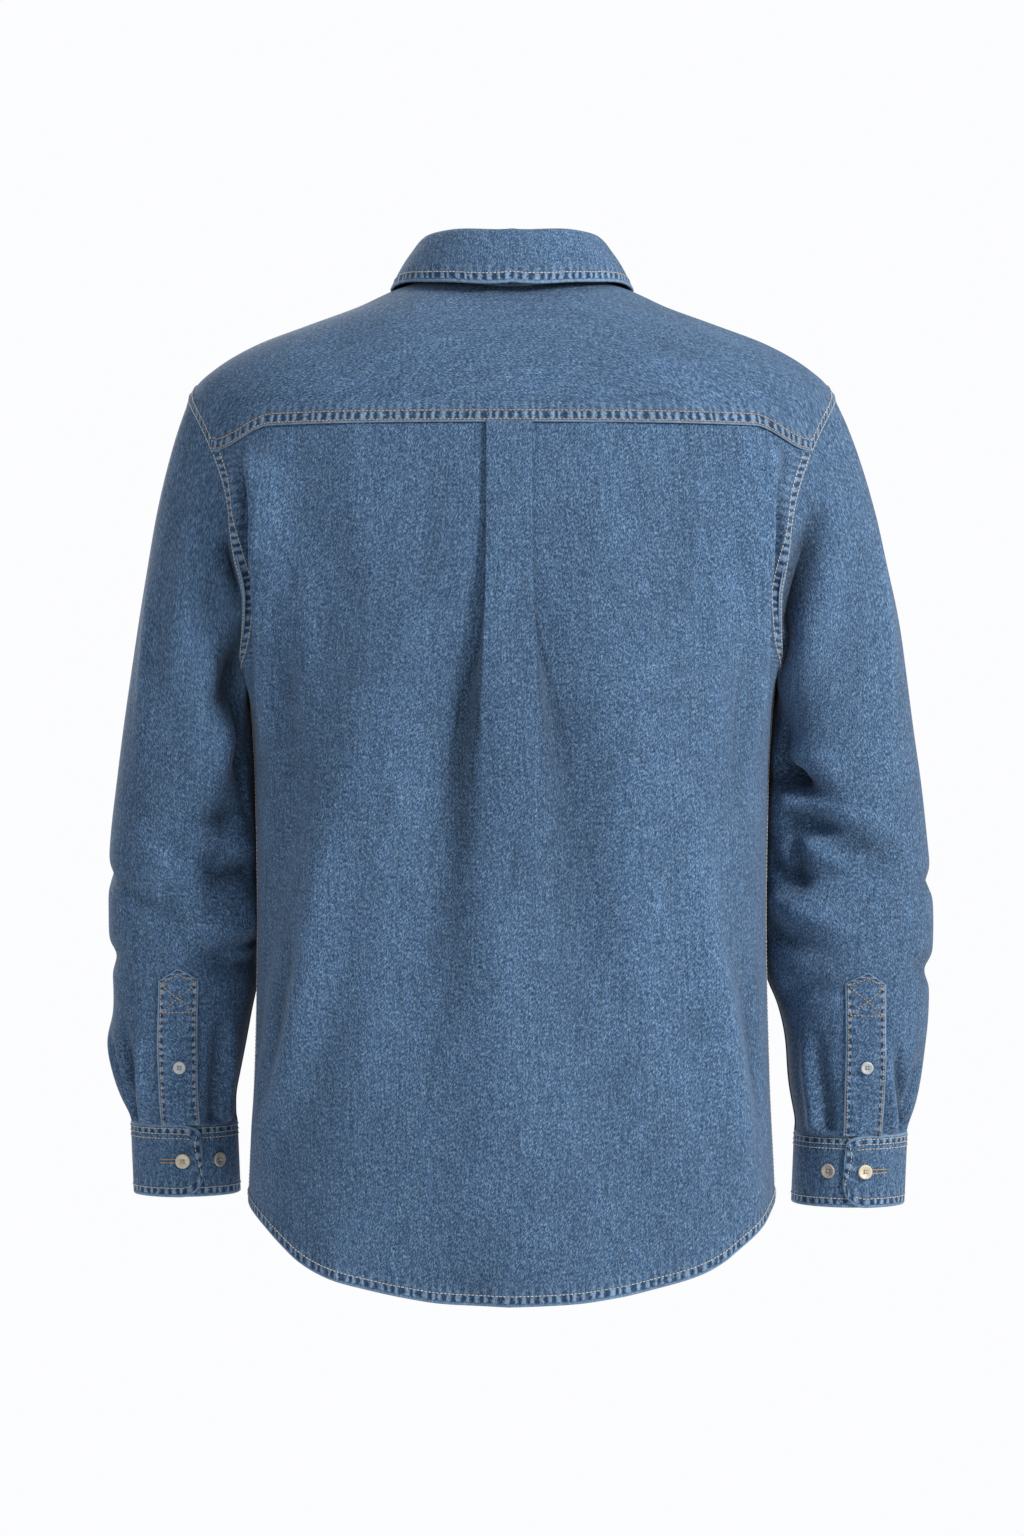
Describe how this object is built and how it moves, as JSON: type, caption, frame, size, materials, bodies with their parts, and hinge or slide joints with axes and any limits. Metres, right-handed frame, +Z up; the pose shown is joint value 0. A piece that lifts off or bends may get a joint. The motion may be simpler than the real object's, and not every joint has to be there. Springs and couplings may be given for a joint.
{
  "type": "long-sleeved denim shirt",
  "caption": "Button-front denim shirt with a pointed collar, back yoke with a box pleat, buttoned cuffs with sleeve plackets, and a curved hem; filled out as if worn, arms hanging.",
  "frame": {"origin": "middle of the neck opening, level with the point where the shoulder line leaves the collar", "axes": "+X to the wearer's left, +Y out of the wearer's back, +Z up; the front faces -Y"},
  "size_m": [0.6398, 0.2643, 0.7975],
  "materials": {
    "denim": "matte",
    "denim_worn": "matte",
    "buttons": "satin"
  },
  "bodies": {
    "root": {"yoke": "denim", "back_panel": "denim", "front_left": "denim", "front_right": "denim", "front_placket": "denim_worn", "collar_stand": "denim_worn", "collar_fall": "denim_worn", "sleeve_left": "denim", "sleeve_right": "denim", "sleeve_placket_left": "denim_worn", "sleeve_placket_right": "denim_worn", "cuff_left": "denim_worn", "cuff_right": "denim_worn", "front_button_1": "buttons", "front_button_2": "buttons", "front_button_3": "buttons", "front_button_4": "buttons", "front_button_5": "buttons", "front_button_6": "buttons", "stand_button": "buttons", "sleeve_button_left": "buttons", "cuff_button_left_1": "buttons", "cuff_button_left_2": "buttons", "sleeve_button_right": "buttons", "cuff_button_right_1": "buttons", "cuff_button_right_2": "buttons"}
  },
  "joints": []
}
